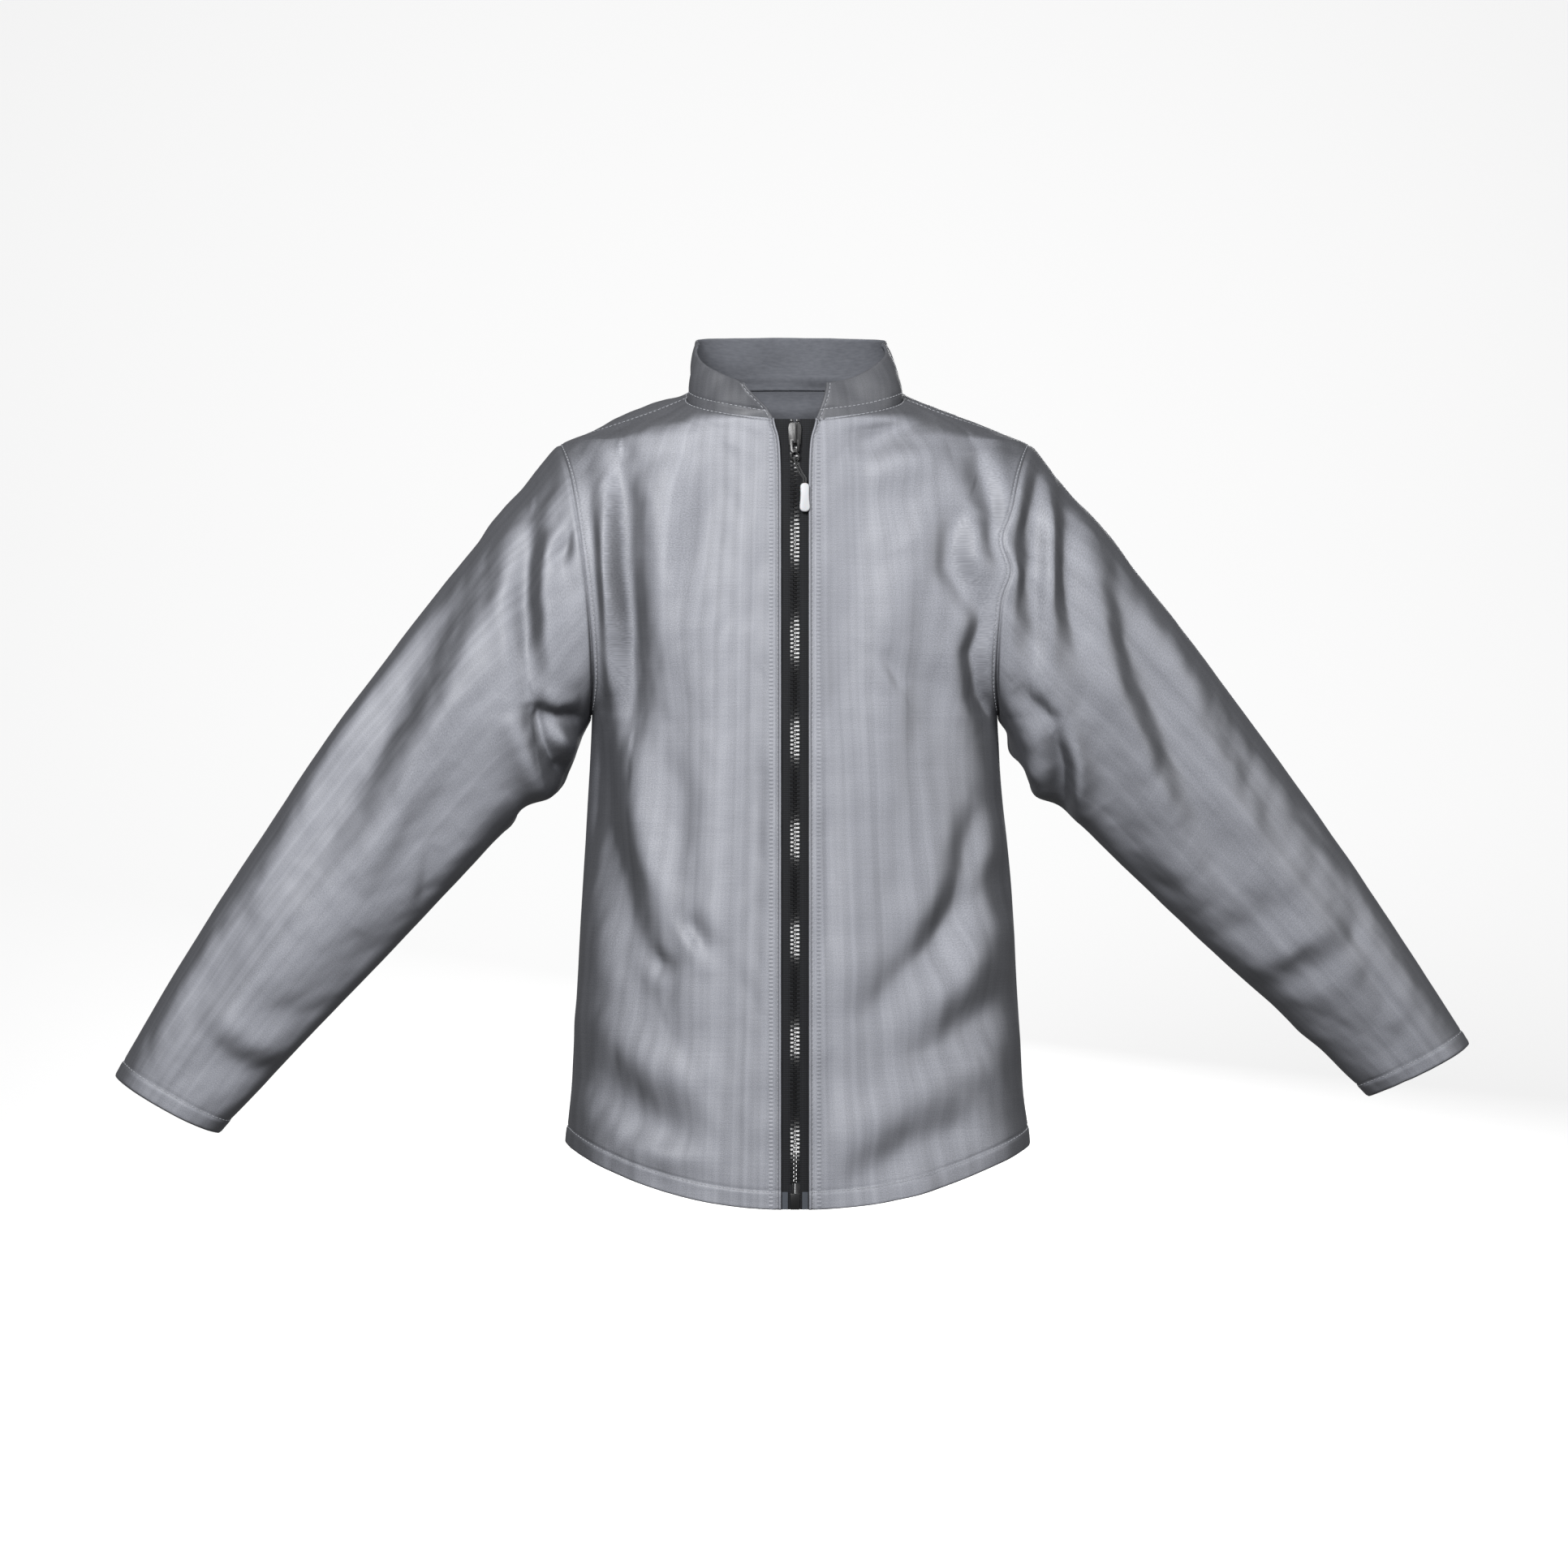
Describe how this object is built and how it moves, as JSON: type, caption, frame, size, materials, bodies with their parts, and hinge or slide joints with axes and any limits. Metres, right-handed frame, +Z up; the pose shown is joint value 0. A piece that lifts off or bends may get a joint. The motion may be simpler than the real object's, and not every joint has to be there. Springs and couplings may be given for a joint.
{
  "type": "welding jacket",
  "caption": "Welding jacket in grey flame-resistant cotton, with set-in long sleeves, a stand collar and a full-length separating moulded-tooth zip with a corded pull tag.",
  "frame": {"origin": "middle of the neck opening, level with the tops of the shoulder seams, where a hanger's hook rises", "axes": "+X towards the wearer's left, -Y out of the front, +Z up"},
  "size_m": [1.2402, 0.2678, 0.7716],
  "materials": {
    "cotton_sateen": "grey flame-resistant cotton sateen, soft satin lustre",
    "interlining": "woven cotton canvas",
    "zip_tape": "black woven polyester",
    "zip_acetal": "black moulded acetal",
    "zip_enamel": "black enamelled zinc casting",
    "end_film": "clear reinforcing film over black tape",
    "pull_braid": "black braided polyester cord",
    "pull_rubber": "white moulded soft plastic"
  },
  "bodies": {
    "jacket": {"front_left": "cotton_sateen", "front_right": "cotton_sateen", "back": "cotton_sateen", "collar_outer": "cotton_sateen", "collar_interlining": "interlining", "collar_inner": "cotton_sateen", "zip_tape_left": "zip_tape", "zip_tape_right": "zip_tape", "zip_teeth_left": "zip_acetal", "zip_teeth_right": "zip_acetal", "zip_top_stop_left": "zip_acetal", "zip_top_stop_right": "zip_acetal", "zip_end_film_left": "end_film", "zip_end_film_right": "end_film", "zip_retainer_box": "zip_acetal", "zip_insertion_pin": "zip_acetal"},
    "sleeve_left": {"sleeve_left": "cotton_sateen"},
    "sleeve_right": {"sleeve_right": "cotton_sateen"},
    "slider": {"zip_slider": "zip_enamel"},
    "pull_tab": {"pull_tab": "zip_enamel"},
    "pull_cord": {"pull_cord": "pull_braid", "pull_tag": "pull_rubber"}
  },
  "joints": [
    {"name": "sleeve_left_raise", "type": "hinge", "parent": "jacket", "child": "sleeve_left", "pos_m": [0.209, 0, -0.046], "axis": [0, -1, 0], "range_deg": [0, 40]},
    {"name": "sleeve_right_raise", "type": "hinge", "parent": "jacket", "child": "sleeve_right", "pos_m": [-0.209, 0, -0.046], "axis": [0, 1, 0], "range_deg": [0, 40]},
    {"name": "zip_slide", "type": "slide", "parent": "jacket", "child": "slider", "axis": [0, -0.0499, -0.9988], "range_m": [0, 0.643]},
    {"name": "pull_tab_lift", "type": "hinge", "parent": "slider", "child": "pull_tab", "pos_m": [0, -0.08336, -0.05236], "axis": [-1, 0, 0], "range_deg": [0, 145]},
    {"name": "pull_cord_swing", "type": "hinge", "parent": "pull_tab", "child": "pull_cord", "pos_m": [0, -0.0842, -0.06934], "axis": [0, -0.9988, 0.0499], "range_deg": [-18, 18]}
  ]
}
